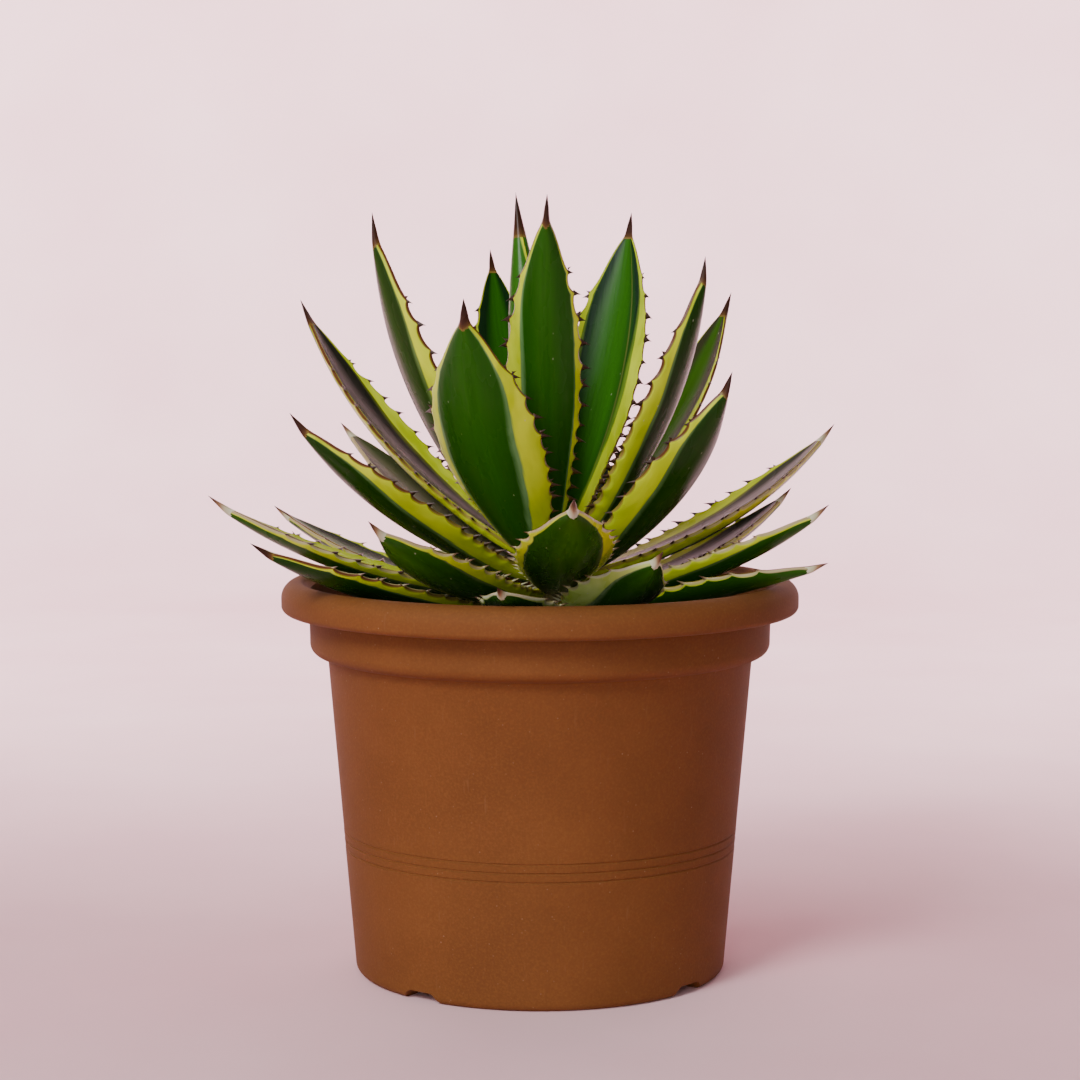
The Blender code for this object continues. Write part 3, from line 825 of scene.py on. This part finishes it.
def add_tooth(draw, parts, base, out, forward, up, size, ripeness):
    """A flat hooked tooth: its base runs along the margin, and its point curves to the root."""
    start = len(parts["points"])
    hook = draw.uniform(0.15, 0.35) * size
    lean = draw.uniform(-0.35, -0.1) * size
    for i in range(TOOTH_RINGS):
        share = i / TOOTH_RINGS
        centre = base + out * size * (share - 0.18) + forward * (lean * share - hook * share**2)
        wide = 0.42 * size * (1 - share) ** 1.6 + 0.03 * MM
        thick = 0.17 * size * (1 - share) + 0.03 * MM
        for x, y in ((1, 0), (0, 1), (-1, 0), (0, -1)):
            parts["points"].append(centre + forward * x * wide + up * y * thick)
            parts["horn"].append((0.12 + 0.88 * share) * ripeness)
    parts["points"].append(base + out * size * 0.82 + forward * (lean - hook))
    parts["horn"].append(ripeness)
    for _ in range(TOOTH_RINGS * 4 + 1):
        parts["place"].append((0, 0, 0))
        parts["zone"].append((0, 0, 1))
    faces = [(3, 2, 1, 0)]
    for i in range(0, (TOOTH_RINGS - 1) * 4, 4):
        faces += [(i + j, i + (j + 1) % 4, i + (j + 1) % 4 + 4, i + j + 4) for j in range(4)]
    last = (TOOTH_RINGS - 1) * 4
    faces += [(last + j, last + (j + 1) % 4, last + 4) for j in range(4)]
    parts["faces"] += [tuple(start + corner for corner in face) for face in faces]
    parts["slots"] += [2] * len(faces)


def add_teeth(draw, parts, leaf, side, places, margin, length):
    """One margin's teeth: smaller towards the tip, paler near the root, some with another beside
    them that hooks the other way."""
    last = len(leaf.places) - 2
    for place in places:
        share = place / leaf.length
        j = min(int(share * (last + 1)), last)
        forward = unit(leaf.middle[j + 1] - leaf.middle[j])
        slant = leaf.rise[j] * 2 / max(leaf.half[j], MM)
        out = unit(leaf.across * (1 if side else -1) + leaf.up[j] * slant * 0.7)
        size = length * draw.uniform(0.75, 1.15) * min(1, (1 - share) / 0.35)
        ripeness = min(0.12 + 2.2 * max(share - 0.2, 0), 1)
        base = margin[j]
        add_tooth(draw, parts, base, out, forward, leaf.up[j], size, ripeness)
        if draw.random() < 0.3:
            beside = base + forward * 1.4 * MM - out * 0.2 * MM
            add_tooth(draw, parts, beside, out, -forward, leaf.up[j], size * 0.6, ripeness)


def fine_leaf(number, back, face, teeth, *widths):
    """One leaf's blade, teeth and spine in one mesh, lofted along the solid leaf's midline."""
    node = f"leaf_{number:02d}"
    draw = random.Random(100 + number)
    leaf = fine_rows(node)
    places, dips = zip(*[toothed_margin(draw, leaf) for _ in widths])
    parts = new_parts()
    margins = add_blade(parts, leaf, dips, widths, number * PATTERN_STEP)
    for side in (0, 1):
        add_teeth(draw, parts, leaf, side, places[side], margins[side], TOOTH_LENGTH[teeth])
    piece = new_piece(f"blade_{number:02d}", skin_mesh(node, parts), LEAF_BACKS[back],
                      LEAF_FACES[face], TEETH[teeth])
    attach(piece, "root")
    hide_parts(node)


for row, leaf_look in enumerate(LEAF_LOOKS):
    fine_leaf(row + 1, *leaf_look)


# Spear. The youngest leaves, still rolled round each other into a pointed cone: fresh green, with
# the outermost leaf's brown horny edge winding down it.

SPEAR_SIDES = 72
SPEAR_ROWS = 150
SPEAR_MEAN_RADIUS = 6 * MM
SPEAR_YELLOW = 1.2 * MM
SPEAR_SPINE_FROM = 0.87
# How far the outer leaf's edge stands out, as a share of the radius, where it starts at the foot,
# in turns from the left towards the front, and how far it winds back on its way up.
WRAP_STEP = 0.13
WRAP_FOOT_TURN = 0.62
WRAP_WINDING = 0.34


def measured_spear():
    """The solid cone's foot, axis and length, and the heights and radii of its sections."""
    points = solid_points("spear")
    tip = points[np.argmax(points[:, 2])]
    foot = points[np.argmin(points[:, 2])]
    axis = unit(tip - foot)
    heights = (points - foot) @ axis
    radii = np.linalg.norm((points - foot) - heights[:, None] * axis, axis=1)
    order = np.argsort(heights)
    _, first = np.unique(np.round(heights[order] / (2 * MM)), return_index=True)
    sections = heights[order][first]
    section_radii = [radii[np.abs(heights - height) < MM].max() for height in sections]
    return foot, axis, np.linalg.norm(tip - foot), sections, section_radii


def spear_mesh():
    """A cone whose outer leaf wraps it once and a little more, ending in a raised edge."""
    foot, axis, length, sections, section_radii = measured_spear()
    left = unit(np.cross(axis, (0, 1, 0)))
    behind = unit(np.cross(left, axis))
    parts = new_parts()
    for j in range(SPEAR_ROWS):
        share = j / (SPEAR_ROWS - 1)
        radius = max(float(np.interp(share * length, sections, section_radii)), 0.06 * MM)
        edge_turn = WRAP_FOOT_TURN - WRAP_WINDING * share
        for i in range(SPEAR_SIDES):
            angle = 2 * math.pi * i / SPEAR_SIDES
            wrapped = (i / SPEAR_SIDES - edge_turn) % 1
            wrap = 1 + WRAP_STEP * (wrapped - 0.5) * min(1, (1 - share) / 0.2)
            out = left * math.cos(angle) - behind * math.sin(angle)
            parts["points"].append(foot + axis * share * length + out * radius * wrap)
            parts["place"].append((angle * SPEAR_MEAN_RADIUS / MM, share * length / MM, 3))
            from_edge = (1 - wrapped) * 2 * math.pi * radius
            parts["zone"].append((0.2, from_edge / SPEAR_YELLOW, from_edge / MM))
            parts["horn"].append(max(share - SPEAR_SPINE_FROM, 0) / (1 - SPEAR_SPINE_FROM))
    add_skin(parts, SPEAR_ROWS, SPEAR_SIDES, 0)
    return skin_mesh("rolled_leaves", parts)


young = leaf_skin("waxy young leaf", "2F6412", "285610", "7F9A50", YELLOW, DARK_HORN, scars=0.1)
spear = new_piece("rolled_leaves", spear_mesh(), young)
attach(spear, "root")
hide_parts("spear")


# Studio. A pale painted floor that curves up into the backdrop, a large soft lamp high on the left
# in front, a weaker and larger one straight in front, two that light only the backdrop from either
# side, and pale light from all round.

COVE_FROM = 1.2
COVE_RADIUS = 0.6
BACKDROP_TOP = 3
FLOOR_REACH = 6
WORLD_COLOUR = "F4ECEC"
WORLD_STRENGTH = 0.25
CAMERA_AWAY = 1.0417
CAMERA_HEIGHT = 0.2635
CAMERA_DOWN = 5.27
LENS = 90.05
SENSOR_WIDTH = 36


def studio_floor():
    """A matt painted floor with a cove behind it, mottled a little by the roller."""
    finish, tree, shader = new_finish("matt floor paint")
    place = add(tree, "TexCoord").outputs["Object"]
    mottle = add(tree, "TexNoise", {"Vector": place, "Scale": 6, "Detail": 3})
    base = add(tree, "ValToRGB", {"Fac": mottle.outputs["Fac"]},
               stops=((0.3, "EDBFC7"), (0.7, "F4CBD1")))
    tree.links.new(base.outputs["Color"], shader.inputs["Base Color"])
    shader.inputs["Roughness"].default_value = 0.9
    bm = bmesh.new()
    outline = [(-FLOOR_REACH, 0)]
    outline += arc((COVE_FROM, COVE_RADIUS), COVE_RADIUS, -90, 0, 12)
    outline.append((COVE_FROM + COVE_RADIUS, BACKDROP_TOP))
    rows = []
    for y, z in outline:
        rows.append([bm.verts.new((x, y, z)) for x in (-FLOOR_REACH, FLOOR_REACH)])
    for near, far in zip(rows, rows[1:]):
        bm.faces.new((near[0], near[1], far[1], far[0]))
    mesh = bpy.data.meshes.new("studio_floor")
    bm.to_mesh(mesh)
    bm.free()
    mesh.shade_smooth()
    return new_piece("studio_floor", mesh, finish)


def soft_lamp(name, place, size, power, target=(0, 0, 0.17)):
    """A round lamp with a diffuser, aimed at the middle of the plant unless told otherwise."""
    lamp = bpy.data.lights.new(name, "AREA")
    lamp.shape = "DISK"
    lamp.size = size
    lamp.energy = power
    holder = bpy.data.objects.new(name, lamp)
    holder.location = place
    holder.rotation_euler = (Vector(target) - Vector(place)).to_track_quat("-Z", "Y").to_euler()
    bpy.context.scene.collection.objects.link(holder)


studio_floor()
soft_lamp("key_lamp", (-0.95, -1.5, 1.4), 0.8, 42)
soft_lamp("front_lamp", (-0.3, -2.2, 0.6), 1.3, 16)
for side in (-1, 1):
    soft_lamp("backdrop_lamp", (side * 1.1, 0.3, 0.9), 0.9, 60, (side * 0.75, 1.8, 0.9))
world = bpy.data.worlds.new("studio")
world.use_nodes = True
background = world.node_tree.nodes["Background"]
background.inputs["Color"].default_value = linear(WORLD_COLOUR)
background.inputs["Strength"].default_value = WORLD_STRENGTH
bpy.context.scene.world = world
camera_data = bpy.data.cameras.new("camera")
camera_data.lens = LENS
camera_data.sensor_width = SENSOR_WIDTH
camera = bpy.data.objects.new("camera", camera_data)
camera.location = (0, -CAMERA_AWAY, CAMERA_HEIGHT)
camera.rotation_euler = (math.radians(90 - CAMERA_DOWN), 0, 0)
bpy.context.scene.collection.objects.link(camera)
bpy.context.scene.camera = camera
